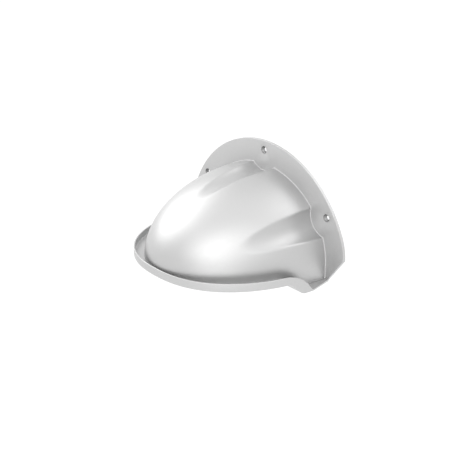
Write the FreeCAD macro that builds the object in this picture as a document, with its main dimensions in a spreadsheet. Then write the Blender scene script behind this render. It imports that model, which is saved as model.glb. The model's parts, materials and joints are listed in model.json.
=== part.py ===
"""Wall-mounted quarter-dome convex security mirror with an arched flange and a drip gutter.

Millimetres.  +Z is up, +X runs along the wall and the wall lies on the +Y side.  The origin is on the
wall's surface, on the centreline, level with the dome's mouth.  A size called a reach is counted from
the flange's front face, away from the wall.
"""
import FreeCAD
import Part
import Sketcher
import math
import os

V = FreeCAD.Vector
ALONG_WALL = V(1, 0, 0)
TO_WALL = V(0, 1, 0)
UP = V(0, 0, 1)

SIZES = [
    ("flange_half_width", 150.0, "half of the overall width"),
    ("flange_radius", 157.0, "main arc of the arched flange"),
    ("flange_centre_drop", 18.8, "main arc's centre, below the mouth plane"),
    ("shoulder_level", 15.0, "height where the side turns into the chamfer"),
    ("foot_half_width", 124.0, "half width of the flange's bottom edge"),
    ("foot_drop", 20.0, "bottom edge, below the mouth plane"),
    ("flange_thick", 4.0, "flange"),
    ("plate_thick", 2.0, "back plate"),
    ("plate_inset", 6.0, "back plate's edge inside the flange's edge"),
    ("gasket_thick", 2.0, "wall gasket, pressed"),
    ("gasket_inset", 19.0, "gasket's outer edge inside the flange's edge, clear of the fixing holes"),
    ("gasket_band", 8.0, "gasket's width"),
    ("dome_half_width", 120.5, "dome's outside, along the wall"),
    ("dome_height", 107.0, "dome's outside, up"),
    ("dome_reach", 177.5, "dome's outside, out of the wall"),
    ("dome_wall", 2.0, "dome's sheet"),
    ("wall_foot", 6.0, "width of the dome's foot that turns out behind the flange"),
    ("foot_margin", 2.5, "metal left between that foot and the flange's edge"),
    ("slip", 0.2, "gap round the dome in the flange's opening"),
    ("bead", 1.0, "sealing bead in the corner of dome and flange"),
    ("flute_radius", 28.0, "screwdriver flute, at the flange"),
    ("flute_straight", 25.0, "reach of the flute's parallel part"),
    ("flute_flare", 270.0, "radius of the flute's flare"),
    ("flute_reach", 135.0, "reach of the cut that makes a flute"),
    ("hole_circle", 144.2, "circle of the fixing holes, about the main arc's centre"),
    ("hole_angle", 54.8, "side fixing holes, in degrees from the top one"),
    ("hole_radius", 2.75, "fixing holes"),
    ("sink_radius", 4.9, "fixing holes' countersinks"),
    ("sink_straight", 0.7, "straight wall above those countersinks"),
    ("plate_hole", 5.0, "back plate's clearance behind the fixing holes"),
    ("rim_half_width", 135.6, "gutter's outside, along the wall"),
    ("rim_reach", 182.4, "gutter's outside, out of the wall"),
    ("rim_power", 2.34, "exponent of the gutter's superellipse"),
    ("rim_top", 7.6, "top edge of the gutter's lip"),
    ("lip_thick", 2.0, "gutter's lip"),
    ("floor_top", 1.0, "gutter's floor, below the mouth plane"),
    ("floor_thick", 2.5, "gutter's floor"),
    ("spout_drop", 16.5, "how far the floor drops at the spouts"),
    ("spout_start", 74.0, "reach where the floor starts to drop"),
    ("spout_angle", 43.0, "slope of the drop, in degrees"),
    ("upper_bend", 14.0, "floor's bend at the top of the drop"),
    ("lower_bend", 12.0, "floor's bend at the foot of the drop"),
    ("lip_start", 77.4, "reach where the lip's top edge starts to fall"),
    ("lip_bend", 46.0, "radius of that fall"),
    ("lip_angle", 52.0, "slope of the lip's end, in degrees"),
    ("tip_reach", 34.0, "reach of the lip's tip"),
    ("floor_end", 127.0, "half width of the gutter's floor at the flange"),
    ("seal_thick", 1.0, "mouth seal, pressed"),
    ("seal_inset", 0.8, "mouth seal's edge inside the dome's outside"),
    ("mouth_foot", 14.0, "width of the dome's foot that turns in at the mouth"),
    ("rail_thick", 3.0, "mouth frame"),
    ("rail_gap", 3.0, "mouth frame's outer edge inside the dome's outside"),
    ("small_radius", 1.5, "small screws' shank"),
    ("small_head", 2.8, "small screws' head"),
    ("small_chamfer", 0.5, "small screws' pointed end"),
    ("socket_radius", 1.0, "six-sided socket, across its corners"),
    ("socket_depth", 1.0, "six-sided socket"),
    ("pan_flat", 1.8, "flat on top of a pan head"),
    ("pan_edge", 0.7, "depth of a pan head's rounded edge"),
    ("pan_height", 1.8, "pan head"),
    ("pan_length", 3.8, "pan-head screws' shank"),
    ("frame_screw_length", 4.4, "screws that clamp the back plate"),
    ("outer_frame_screw", 129.5, "lowest of those screws, from the centreline"),
    ("outer_frame_level", 4.5, "lowest of those screws, above the mouth plane"),
    ("gutter_screw_inset", 8.0, "gutter's screws, inside the dome's outside"),
    ("spout_screw_reach", 26.0, "gutter's last screws, over the spouts"),
    ("bracket_width", 10.0, "corner bracket"),
    ("bracket_side", 107.5, "corner bracket's inner side"),
    ("bracket_leg", 16.0, "corner bracket's leg on the mouth frame"),
    ("bracket_rise", 18.0, "corner bracket's leg on the back plate"),
    ("bracket_thick", 2.0, "corner bracket's sheet"),
    ("leg_screw_reach", 9.9, "bracket's screw on the mouth frame, from the back plate"),
    ("rise_screw_drop", 2.0, "bracket's screw on the back plate, below the mouth plane"),
]
FRAME_SCREW_TURNS = (18.0, 37.0, 72.5)                  # degrees from the top, on the fixing holes' circle
GUTTER_SCREW_TURNS = (33.0, 61.0, 90.0, 119.0, 147.0)   # degrees round the mouth, from the right

doc = FreeCAD.newDocument("security_mirror")
sheet = doc.addObject("Spreadsheet::Sheet", "Sizes")
for row, (alias, number, note) in enumerate(SIZES, start=1):
    sheet.set(f"A{row}", note)
    sheet.set(f"B{row}", str(number))
    sheet.setAlias(f"B{row}", alias)
doc.recompute()


def size(alias):
    """A driving dimension, as a number."""
    return float(sheet.get(alias))


def add(kind, name, sources=None, **bindings):
    """A document object whose properties follow expressions on the sheet."""
    made = doc.addObject(kind, name)
    for prop, source in (sources or {}).items():
        setattr(made, prop, source)
    for prop, expression in bindings.items():
        made.setExpression(prop, expression)
    return made


def formed(name, shape):
    """An object with a shape of its own, for outlines that follow a formula."""
    made = doc.addObject("Part::Feature", name)
    made.Shape = shape
    return made


def cut(name, base, tool):
    return add("Part::Cut", name, {"Base": base, "Tool": tool})


def common(name, base, tool):
    return add("Part::Common", name, {"Base": base, "Tool": tool})


def fuse(name, shapes):
    return add("Part::MultiFuse", name, {"Shapes": shapes})


def extruded(name, outline, direction):
    """A solid swept from an outline along a direction."""
    return add("Part::Extrusion", name, {"Base": outline, "DirMode": "Custom", "Dir": direction, "Solid": True})


# Planes across the depth, as expressions and as numbers.
FRONT = "(Sizes.gasket_thick + Sizes.plate_thick + Sizes.flange_thick)"
front = size("gasket_thick") + size("plate_thick") + size("flange_thick")
plate_front = size("gasket_thick") + size("plate_thick")
PLATE_FRONT = "(Sizes.gasket_thick + Sizes.plate_thick)"


def on_circle(degrees):
    """The place on the fixing holes' circle that many degrees from its top, as across and up."""
    turn = math.radians(degrees)
    circle = size("hole_circle")
    return circle * math.sin(turn), circle * math.cos(turn) - size("flange_centre_drop")


HOLE_SPOTS = [on_circle(0.0), on_circle(size("hole_angle")), on_circle(-size("hole_angle"))]


# ---------------------------------------------------------------- the flange's outline
def arch_outline():
    """Sketch of the flange's outline: a main arc, two shoulder arcs, two chamfers and a straight foot."""
    half = size("flange_half_width")
    radius = size("flange_radius")
    drop = size("flange_centre_drop")
    level = size("shoulder_level")
    rise = level + drop
    shoulder = (radius ** 2 - half ** 2 - rise ** 2) / (2.0 * (radius - half))
    turn = math.asin(rise / (radius - shoulder))
    main_centre = V(0, -drop, 0)

    sketch = doc.addObject("Sketcher::SketchObject", "arch_outline")
    sketch.Placement = FreeCAD.Placement(V(0, 0, 0), FreeCAD.Rotation(ALONG_WALL, 90))
    arc = Part.ArcOfCircle(Part.Circle(main_centre, V(0, 0, 1), radius), turn, math.pi - turn)
    right = Part.ArcOfCircle(Part.Circle(V(half - shoulder, level, 0), V(0, 0, 1), shoulder), 0, turn)
    left = Part.ArcOfCircle(
        Part.Circle(V(shoulder - half, level, 0), V(0, 0, 1), shoulder), math.pi - turn, math.pi
    )
    foot_right = V(size("foot_half_width"), -size("foot_drop"), 0)
    foot_left = V(-size("foot_half_width"), -size("foot_drop"), 0)
    chamfer_right = Part.LineSegment(V(half, level, 0), foot_right)
    chamfer_left = Part.LineSegment(foot_left, V(-half, level, 0))
    base = Part.LineSegment(foot_right, foot_left)
    sketch.addGeometry([arc, right, left, chamfer_right, base, chamfer_left], False)

    start, end, centre = 1, 2, 3
    origin, upward = (-1, 1), -2
    rules = [
        Sketcher.Constraint("PointOnObject", 0, centre, upward),
        Sketcher.Constraint("Tangent", 0, start, 1, end),
        Sketcher.Constraint("Tangent", 0, end, 2, start),
        Sketcher.Constraint("Coincident", 1, start, 3, start),
        Sketcher.Constraint("Coincident", 3, end, 4, start),
        Sketcher.Constraint("Coincident", 4, end, 5, start),
        Sketcher.Constraint("Coincident", 5, end, 2, end),
        Sketcher.Constraint("Horizontal", 1, centre, 1, start),
        Sketcher.Constraint("Horizontal", 2, centre, 2, end),
        Sketcher.Constraint("Symmetric", 1, start, 2, end, upward),
        Sketcher.Constraint("Symmetric", 4, start, 4, end, upward),
    ]
    sketch.addConstraint(rules)
    driven = [
        ("Radius", (0,), "flange_radius", radius),
        ("DistanceY", (0, centre, *origin), "flange_centre_drop", drop),
        ("DistanceX", (*origin, 1, start), "flange_half_width", half),
        ("DistanceY", (*origin, 1, start), "shoulder_level", level),
        ("DistanceX", (*origin, 4, start), "foot_half_width", size("foot_half_width")),
        ("DistanceY", (4, start, *origin), "foot_drop", size("foot_drop")),
    ]
    for kind, where, alias, number in driven:
        index = sketch.addConstraint(Sketcher.Constraint(kind, *where, number))
        sketch.renameConstraint(index, alias)
        sketch.setExpression(f"Constraints.{alias}", f"Sizes.{alias}")
    return sketch


ARCH = arch_outline()


def arch_plate(name, inset, thickness, behind):
    """A plate with the flange's outline drawn in by `inset`, its back face `behind` the wall's surface."""
    outline = ARCH
    if inset != "0":
        outline = add("Part::Offset2D", f"{name}_outline", {"Source": ARCH, "Join": 2}, Value=f"-({inset})")
    plate = extruded(name, outline, -TO_WALL)
    plate.setExpression("LengthFwd", thickness)
    plate.setExpression("Placement.Base.y", f"-({behind})")
    return plate


# ---------------------------------------------------------------- the dome's outline
def round_bar(name, radius, x, z, back, length):
    """A round bar square to the wall, from `back` behind the origin plane outwards."""
    bar = add("Part::Cylinder", name, Radius=radius, Height=length)
    bar.Placement = FreeCAD.Placement(V(x, 0, z), FreeCAD.Rotation(ALONG_WALL, 90))
    bar.setExpression("Placement.Base.y", f"-({back})")
    return bar


def dome_prism(name, grow, back, length):
    """The dome's outline at the flange, grown by `grow`, carried along Y from `back` outwards.

    The outline is half an ellipse with a bite for each fixing hole, and straight sides below it.
    """
    ring = add("Part::Ellipse", f"{name}_ring",
               MajorRadius=f"Sizes.dome_half_width + {grow}", MinorRadius=f"Sizes.dome_height + {grow}")
    oval = extruded(f"{name}_oval", ring, UP)
    oval.setExpression("LengthFwd", length)
    oval.Placement = FreeCAD.Placement(V(0, 0, 0), FreeCAD.Rotation(ALONG_WALL, 90))
    oval.setExpression("Placement.Base.y", f"-({back})")
    sides = add("Part::Box", f"{name}_sides", Length=f"2 * (Sizes.dome_half_width + {grow})",
                Width=length, Height="Sizes.dome_height")
    sides.setExpression("Placement.Base.x", f"-(Sizes.dome_half_width + {grow})")
    sides.setExpression("Placement.Base.y", f"-({back}) - ({length})")
    sides.setExpression("Placement.Base.z", "-Sizes.dome_height")
    bites = [
        round_bar(f"{name}_bite{index}", f"Sizes.flute_radius - ({grow})", x, z, back, length)
        for index, (x, z) in enumerate(HOLE_SPOTS)
    ]
    return cut(name, fuse(f"{name}_whole", [oval, sides]), fuse(f"{name}_bites", bites))


def flutes(name, grow):
    """Three trumpet-shaped cutters, one about each fixing hole's axis, `grow` larger all round."""
    straight = size("flute_straight")
    reach = size("flute_reach")
    bend = size("flute_flare") - grow
    ring_radius = size("flute_radius") + size("flute_flare")

    def radius_at(distance):
        return ring_radius - math.sqrt(bend ** 2 - (distance - straight) ** 2)

    def spot(radius, distance):
        return V(radius, -front - distance, 0)

    behind = -2.0 * front
    middle = 0.5 * (straight + reach)
    near = spot(ring_radius - bend, straight)
    far = spot(radius_at(reach), reach)
    outline = Part.Wire([
        Part.LineSegment(spot(0, behind), spot(ring_radius - bend, behind)).toShape(),
        Part.LineSegment(spot(ring_radius - bend, behind), near).toShape(),
        Part.Arc(near, spot(radius_at(middle), middle), far).toShape(),
        Part.LineSegment(far, spot(0, reach)).toShape(),
        Part.LineSegment(spot(0, reach), spot(0, behind)).toShape(),
    ])
    trumpet = Part.Face(outline).revolve(V(0, 0, 0), TO_WALL, 360)
    return formed(name, Part.makeCompound([trumpet.translated(V(x, 0, z)) for x, z in HOLE_SPOTS]))


# ---------------------------------------------------------------- the gutter's outlines
def floor_edges(lift):
    """The gutter floor's side view, `lift` above its top face: flat, bend, slope, bend, flat."""
    slope = math.radians(size("spout_angle"))
    upper = size("upper_bend") + lift
    lower = size("lower_bend") - lift
    bends = size("upper_bend") + size("lower_bend")
    drop = size("spout_drop")
    run = bends * math.sin(slope) + (drop - bends * (1.0 - math.cos(slope))) / math.tan(slope)
    upper_centre = (size("spout_start"), -size("floor_top") - size("upper_bend"))
    lower_centre = (size("spout_start") - run, -size("floor_top") - drop + size("lower_bend"))

    def spot(reach, level):
        return V(0, -front - reach, level)

    def on_upper(angle):
        return spot(upper_centre[0] - upper * math.sin(angle), upper_centre[1] + upper * math.cos(angle))

    def on_lower(angle):
        return spot(lower_centre[0] + lower * math.sin(angle), lower_centre[1] - lower * math.cos(angle))

    far = spot(size("rim_reach") + front, upper_centre[1] + upper)
    near = spot(-front, lower_centre[1] - lower)
    return [
        Part.LineSegment(far, on_upper(0)).toShape(),
        Part.Arc(on_upper(0), on_upper(slope / 2), on_upper(slope)).toShape(),
        Part.LineSegment(on_upper(slope), on_lower(slope)).toShape(),
        Part.Arc(on_lower(slope), on_lower(slope / 2), on_lower(0)).toShape(),
        Part.LineSegment(on_lower(0), near).toShape(),
    ]


def ends(edges):
    """The first and last point of a run of edges drawn in order."""
    return edges[0].valueAt(edges[0].FirstParameter), edges[-1].valueAt(edges[-1].LastParameter)


def across(name, edges):
    """A solid as wide as the gutter, whose side view is the outline `edges`."""
    wide = 2.0 * size("rim_half_width") + 2.0 * front
    face = Part.Face(Part.Wire(Part.sortEdges(edges)[0]))
    return formed(name, face.translated(V(-wide / 2, 0, 0)).extrude(ALONG_WALL * wide))


def floor_band(name, low, high):
    """The layer between two heights above the gutter's floor."""
    under = floor_edges(low)
    over = floor_edges(high)
    sides = [Part.LineSegment(a, b).toShape() for a, b in zip(ends(under), ends(over))]
    return across(name, under + over + sides)


def above_floor(name, lift, top):
    """Everything from `lift` above the gutter's floor up to a level `top`."""
    under = floor_edges(lift)
    far, near = ends(under)
    roof = [V(0, far.y, top), V(0, near.y, top)]
    return across(name, under + [
        Part.LineSegment(far, roof[0]).toShape(),
        Part.LineSegment(roof[0], roof[1]).toShape(),
        Part.LineSegment(roof[1], near).toShape(),
    ])


def lip_side(name):
    """The lip's side view: its top edge falls in an arc and a straight slope to the tip."""
    under = floor_edges(-size("floor_thick"))
    far, near = ends(under)
    bend = size("lip_bend")
    slope = math.radians(size("lip_angle"))
    bottom = near.z

    def top(angle):
        return V(0, -front - size("lip_start") + bend * math.sin(angle),
                 size("rim_top") - bend * (1.0 - math.cos(angle)))

    fall = top(slope)
    tip = V(0, fall.y + (fall.z - bottom) / math.tan(slope), bottom)
    corner = V(0, far.y, size("rim_top"))
    lower_edge = under[:-1] + [Part.LineSegment(ends(under[:-1])[1], tip).toShape()]
    return across(name, lower_edge + [
        Part.LineSegment(far, corner).toShape(),
        Part.LineSegment(corner, top(0)).toShape(),
        Part.Arc(top(0), top(slope / 2), fall).toShape(),
        Part.LineSegment(fall, tip).toShape(),
    ])


TALL = 60.0          # height of the plan-shaped blanks, well over any piece made from them


def rim_blank(name, inset):
    """A tall blank with the gutter's plan, drawn in by `inset`.

    It is a superellipse between the lip's tips, and runs straight from each tip to the flange.
    """
    half = size("rim_half_width") - inset
    reach = size("rim_reach") - inset
    power = size("rim_power")
    count = 72
    first = math.asin((size("tip_reach") / reach) ** (power / 2.0))
    turns = [first + (math.pi - 2.0 * first) * step / count for step in range(count + 1)]
    outline = [
        V(math.copysign(half * abs(math.cos(turn)) ** (2.0 / power), math.cos(turn)),
          -front - reach * math.sin(turn) ** (2.0 / power), -TALL / 2)
        for turn in turns
    ]
    curve = Part.BSplineCurve()
    curve.interpolate(outline)
    corner_right = V(size("floor_end"), -front, -TALL / 2)
    corner_left = V(-size("floor_end"), -front, -TALL / 2)
    plan = Part.Wire([
        curve.toShape(),
        Part.LineSegment(outline[-1], corner_left).toShape(),
        Part.LineSegment(corner_left, corner_right).toShape(),
        Part.LineSegment(corner_right, outline[0]).toShape(),
    ])
    return formed(name, Part.Face(plan).extrude(UP * TALL))


def mouth_blank(name, inset, back):
    """A tall blank with the dome's plan drawn in by `inset`, run straight back to `back`."""
    ring = add("Part::Ellipse", f"{name}_ring",
               MajorRadius=f"Sizes.dome_reach - {inset}", MinorRadius=f"Sizes.dome_half_width - {inset}")
    oval = extruded(f"{name}_oval", ring, UP)
    oval.LengthFwd = TALL
    oval.Placement = FreeCAD.Placement(V(0, -front, -TALL / 2), FreeCAD.Rotation(UP, 90))
    keep = add("Part::Box", f"{name}_keep", Length="4 * Sizes.dome_reach", Width="2 * Sizes.dome_reach")
    keep.Height = 2 * TALL
    keep.Placement.Base = V(-2 * size("dome_reach"), -front - 2 * size("dome_reach"), -TALL)
    half = common(f"{name}_half", oval, keep)
    if back == FRONT:
        return half
    run = add("Part::Box", f"{name}_run", Length=f"2 * (Sizes.dome_half_width - {inset})",
              Width=f"{FRONT} - ({back})")
    run.Height = TALL
    run.Placement.Base.z = -TALL / 2
    run.setExpression("Placement.Base.x", f"-(Sizes.dome_half_width - {inset})")
    run.setExpression("Placement.Base.y", f"-{FRONT}")
    return fuse(name, [half, run])


# ---------------------------------------------------------------- the dome
def dome_body(name, inset, flute_set):
    """The dome as a filled solid, drawn in by `inset`: a quarter ellipsoid with its flutes cut out."""
    ball = add("Part::Ellipsoid", f"{name}_ball", Radius1=f"Sizes.dome_height - {inset}",
               Radius2=f"Sizes.dome_half_width - {inset}", Radius3=f"Sizes.dome_reach - {inset}")
    ball.Angle1 = 0
    ball.Angle2 = 90
    ball.Angle3 = 360
    ball.Placement.Base.y = -front
    keep = add("Part::Box", f"{name}_half", Length="4 * Sizes.dome_reach", Width="2 * Sizes.dome_reach",
               Height="2 * Sizes.dome_reach")
    keep.Placement.Base = V(-2 * size("dome_reach"), -front - 2 * size("dome_reach"), 0)
    return cut(name, common(f"{name}_quarter", ball, keep), flute_set)


seal = size("seal_thick")
sheet_wall = size("dome_wall")
rail = size("rail_thick")
above_seal = above_floor("above_seal", seal, 2.0 * size("dome_height"))
skirt_zone = add("Part::Box", "skirt_zone", Length="4 * Sizes.dome_reach", Width="2 * Sizes.dome_reach",
                 Height="Sizes.foot_drop")
skirt_zone.Placement.Base = V(-2 * size("dome_reach"), -2 * size("dome_reach"), 0)
skirt_zone.setExpression("Placement.Base.z", "-Sizes.foot_drop")

shell = cut("dome_shell", dome_body("dome_outside", "0", flutes("outer_flutes", 0.0)),
            dome_body("dome_inside", "Sizes.dome_wall", flutes("inner_flutes", sheet_wall)))
skirt_ring = cut("skirt_ring", mouth_blank("skirt_outside", "0", PLATE_FRONT),
                 mouth_blank("skirt_inside", "Sizes.dome_wall", "0"))
skirt = common("dome_skirt", common("skirt_low", skirt_ring, skirt_zone), above_seal)
THROUGH = "2 * Sizes.flange_thick + Sizes.plate_thick"
collar = cut("dome_collar", dome_prism("collar_outside", "0", PLATE_FRONT, "Sizes.flange_thick"),
             dome_prism("collar_inside", "(-Sizes.dome_wall)", "0", THROUGH))
wall_foot = cut("dome_wall_foot", dome_prism("foot_outside", "Sizes.wall_foot", PLATE_FRONT, "Sizes.dome_wall"),
                dome_prism("foot_inside", "0", "0", THROUGH))
foot_limit = arch_plate("foot_limit", "Sizes.foot_margin", "Sizes.flange_thick", PLATE_FRONT)
back_whole = fuse("dome_back", [collar, common("foot_trimmed", wall_foot, foot_limit)])
back_edge = common("dome_back_edge", back_whole, above_seal)
mouth_ring = cut("mouth_ring", mouth_blank("mouth_outside", "Sizes.dome_wall / 2", PLATE_FRONT),
                 mouth_blank("mouth_inside", "Sizes.mouth_foot", "0"))
mouth_foot = common("dome_mouth_foot", mouth_ring, floor_band("foot_layer", seal, seal + sheet_wall))
dome_joined = fuse("dome_joined", [shell, skirt, back_edge, mouth_foot])

# ---------------------------------------------------------------- the flange and what is behind it
flange_blank = arch_plate("flange_blank", "0", "Sizes.flange_thick", PLATE_FRONT)
opening = dome_prism("flange_opening", "Sizes.slip", "0", "3 * Sizes.flange_thick")
rebate = common("flange_rebate",
                dome_prism("rebate_outline", "(Sizes.wall_foot + Sizes.slip)", "0",
                           f"{PLATE_FRONT} + Sizes.dome_wall"),
                arch_plate("rebate_limit", "Sizes.foot_margin - Sizes.slip", "2 * Sizes.flange_thick", "0"))


def fixing_holes(name, radius):
    """The three fixing holes, right through."""
    return fuse(name, [
        round_bar(f"{name}_{index}", radius, x, z, "-1", f"{FRONT} + 2")
        for index, (x, z) in enumerate(HOLE_SPOTS)
    ])


def fixing_sinks(name):
    """Countersinks of the three fixing holes in the flange's front face, each with a short straight wall."""
    sinks = []
    for index, (x, z) in enumerate(HOLE_SPOTS):
        cone = add("Part::Cone", f"{name}_{index}", Radius1="Sizes.sink_radius", Radius2="Sizes.hole_radius",
                   Height="Sizes.sink_radius - Sizes.hole_radius")
        cone.Placement = FreeCAD.Placement(V(x, 0, z), FreeCAD.Rotation(ALONG_WALL, -90))
        cone.setExpression("Placement.Base.y", f"Sizes.sink_straight - {FRONT}")
        wall = round_bar(f"{name}_wall_{index}", "Sizes.sink_radius", x, z, f"{FRONT} - Sizes.sink_straight",
                         "2 * Sizes.sink_straight")
        sinks += [cone, wall]
    return fuse(name, sinks)


def frame_spots():
    """Places of the small screws that clamp the back plate to the flange, between the fixing holes."""
    spots = [on_circle(side * degrees) for degrees in FRAME_SCREW_TURNS for side in (-1.0, 1.0)]
    return spots + [(side * size("outer_frame_screw"), size("outer_frame_level")) for side in (-1.0, 1.0)]


def small_bars(name, spots, back, length):
    """Shank-sized bars square to the wall at each of the given places."""
    return fuse(name, [
        round_bar(f"{name}_{index}", "Sizes.small_radius", x, z, back, length)
        for index, (x, z) in enumerate(spots)
    ])


def small_cones(name, spots, wide_at):
    """Countersinks that open towards the wall, their wide end at `wide_at`."""
    cones = []
    for index, (x, z) in enumerate(spots):
        cone = add("Part::Cone", f"{name}_{index}", Radius1="Sizes.small_head", Radius2="Sizes.small_radius",
                   Height="Sizes.small_head - Sizes.small_radius")
        cone.Placement = FreeCAD.Placement(V(x, 0, z), FreeCAD.Rotation(ALONG_WALL, 90))
        cone.setExpression("Placement.Base.y", f"-({wide_at})")
        cones.append(cone)
    return fuse(name, cones)


FRAME_SPOTS = frame_spots()
thread = "1.25 * Sizes.plate_thick"
flange_open = cut("flange_open", flange_blank, fuse("flange_openings", [opening, rebate]))
flange_drilled = cut("flange_drilled", flange_open,
                     fuse("flange_holes", [fixing_holes("flange_through", "Sizes.hole_radius"),
                                           fixing_sinks("flange_sinks")]))
wall_flange = cut("wall_flange", flange_drilled, small_bars("flange_threads", FRAME_SPOTS, PLATE_FRONT, thread))

back_blank = arch_plate("back_blank", "Sizes.plate_inset", "Sizes.plate_thick", "Sizes.gasket_thick")
back_sunk = cut("back_sunk", back_blank, small_cones("plate_sinks", FRAME_SPOTS, "Sizes.gasket_thick"))
bracket_middle = size("bracket_side") + size("bracket_width") / 2
RISE_SPOTS = [(side * bracket_middle, -size("rise_screw_drop")) for side in (-1.0, 1.0)]
back_plate = cut("back_plate", back_sunk, fuse("plate_holes", [
    fixing_holes("plate_through", "Sizes.plate_hole"),
    small_bars("plate_clear", FRAME_SPOTS, "0", FRONT),
    small_bars("plate_threads", RISE_SPOTS, "0", FRONT),
]))

gasket_inner = arch_plate("gasket_inner", "Sizes.gasket_inset + Sizes.gasket_band", "Sizes.flange_thick", "-1")
wall_gasket = cut("wall_gasket", arch_plate("gasket_outer", "Sizes.gasket_inset", "Sizes.gasket_thick", "0"),
                  gasket_inner)

bead_ring = cut("bead_ring", dome_prism("bead_outside", "Sizes.bead", FRONT, "Sizes.bead"),
                dome_prism("bead_inside", "Sizes.slip / 4", "0", "3 * Sizes.flange_thick"))
dome_bead = common("dome_bead", bead_ring, above_seal)

# ---------------------------------------------------------------- the gutter and the mouth
floor_ring = cut("floor_ring", rim_blank("rim_plan", 0.0),
                 mouth_blank("floor_opening", "Sizes.mouth_foot", "Sizes.gasket_thick"))
gutter_floor = common("gutter_floor", floor_ring, floor_band("floor_layer", -size("floor_thick"), 0.0))
lip_zone = add("Part::Box", "lip_zone", Length="4 * Sizes.rim_half_width", Width="2 * Sizes.rim_reach")
lip_zone.Height = 2 * TALL
lip_back = -front - size("tip_reach")
lip_zone.Placement.Base = V(-2 * size("rim_half_width"), lip_back - 2 * size("rim_reach"), -TALL)
lip_ring = cut("lip_ring", common("lip_plan", rim_blank("lip_outer", 0.0), lip_zone),
               rim_blank("lip_inner", size("lip_thick")))
gutter_lip = common("gutter_lip", lip_ring, lip_side("lip_side"))

rail_ring = cut("rail_ring", mouth_blank("rail_outer", "Sizes.rail_gap", PLATE_FRONT),
                mouth_blank("rail_inner", "Sizes.mouth_foot", "0"))
rail_low = seal + sheet_wall
frame_blank = common("frame_blank", rail_ring, floor_band("rail_layer", rail_low, rail_low + rail))
seal_ring = cut("seal_ring", mouth_blank("seal_outer", "Sizes.seal_inset", FRONT),
                mouth_blank("seal_inner", "Sizes.mouth_foot", "0"))
seal_blank = common("seal_blank", seal_ring, floor_band("seal_layer", 0.0, seal))


def gutter_spots():
    """Places and floor heights of the gutter's screws, about midway across the dome's mouth foot."""
    half = size("dome_half_width") - size("gutter_screw_inset")
    reach = size("dome_reach") - size("gutter_screw_inset")
    level = -size("floor_top")
    turns = [math.radians(degrees) for degrees in GUTTER_SCREW_TURNS]
    spots = [(half * math.cos(turn), -front - reach * math.sin(turn), level) for turn in turns]
    low = level - size("spout_drop")
    return spots + [(side * half, -front - size("spout_screw_reach"), low) for side in (-1.0, 1.0)]


GUTTER_SPOTS = gutter_spots()


def upright_bars(name):
    """Upright bars at the gutter's screws, from under the gutter's floor to over the mouth frame."""
    bars = []
    for index, (x, y, z) in enumerate(GUTTER_SPOTS):
        bar = add("Part::Cylinder", f"{name}_{index}", Radius="Sizes.small_radius",
                  Height="2 * (Sizes.floor_thick + Sizes.seal_thick + Sizes.dome_wall + Sizes.rail_thick)")
        bar.Placement.Base = V(x, y, z)
        bar.setExpression("Placement.Base.z", f"{z} - 2 * Sizes.floor_thick")
        bars.append(bar)
    return fuse(name, bars)


def upright_cones(name):
    """Countersinks for the gutter's screws, open downwards in the floor's underside."""
    cones = []
    for index, (x, y, z) in enumerate(GUTTER_SPOTS):
        cone = add("Part::Cone", f"{name}_{index}", Radius1="Sizes.small_head", Radius2="Sizes.small_radius",
                   Height="Sizes.small_head - Sizes.small_radius")
        cone.Placement.Base = V(x, y, z)
        cone.setExpression("Placement.Base.z", f"{z} - Sizes.floor_thick")
        cones.append(cone)
    return fuse(name, cones)


gutter_drill = fuse("gutter_drill", [upright_bars("gutter_holes"), upright_cones("gutter_sinks")])
drip_gutter = cut("drip_gutter", fuse("gutter_whole", [gutter_floor, gutter_lip]), gutter_drill)
mouth_seal = cut("mouth_seal", seal_blank, upright_bars("seal_holes"))
mirror_dome = cut("mirror_dome", dome_joined, upright_bars("foot_holes"))

leg_level = -size("floor_top") - size("spout_drop") + rail_low + rail
LEG_SPOTS = [(side * bracket_middle, -plate_front - size("leg_screw_reach")) for side in (-1.0, 1.0)]


def leg_bars(name):
    """Upright threads for the two bracket screws that enter the mouth frame."""
    bars = []
    for index, (x, y) in enumerate(LEG_SPOTS):
        bar = add("Part::Cylinder", f"{name}_{index}", Radius="Sizes.small_radius",
                  Height="Sizes.bracket_thick + Sizes.rail_thick")
        bar.Placement.Base = V(x, y, leg_level - rail)
        bars.append(bar)
    return fuse(name, bars)


mouth_frame = cut("mouth_frame", frame_blank, fuse("frame_drill", [
    upright_bars("frame_holes"),
    leg_bars("frame_leg_holes"),
]))


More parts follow.
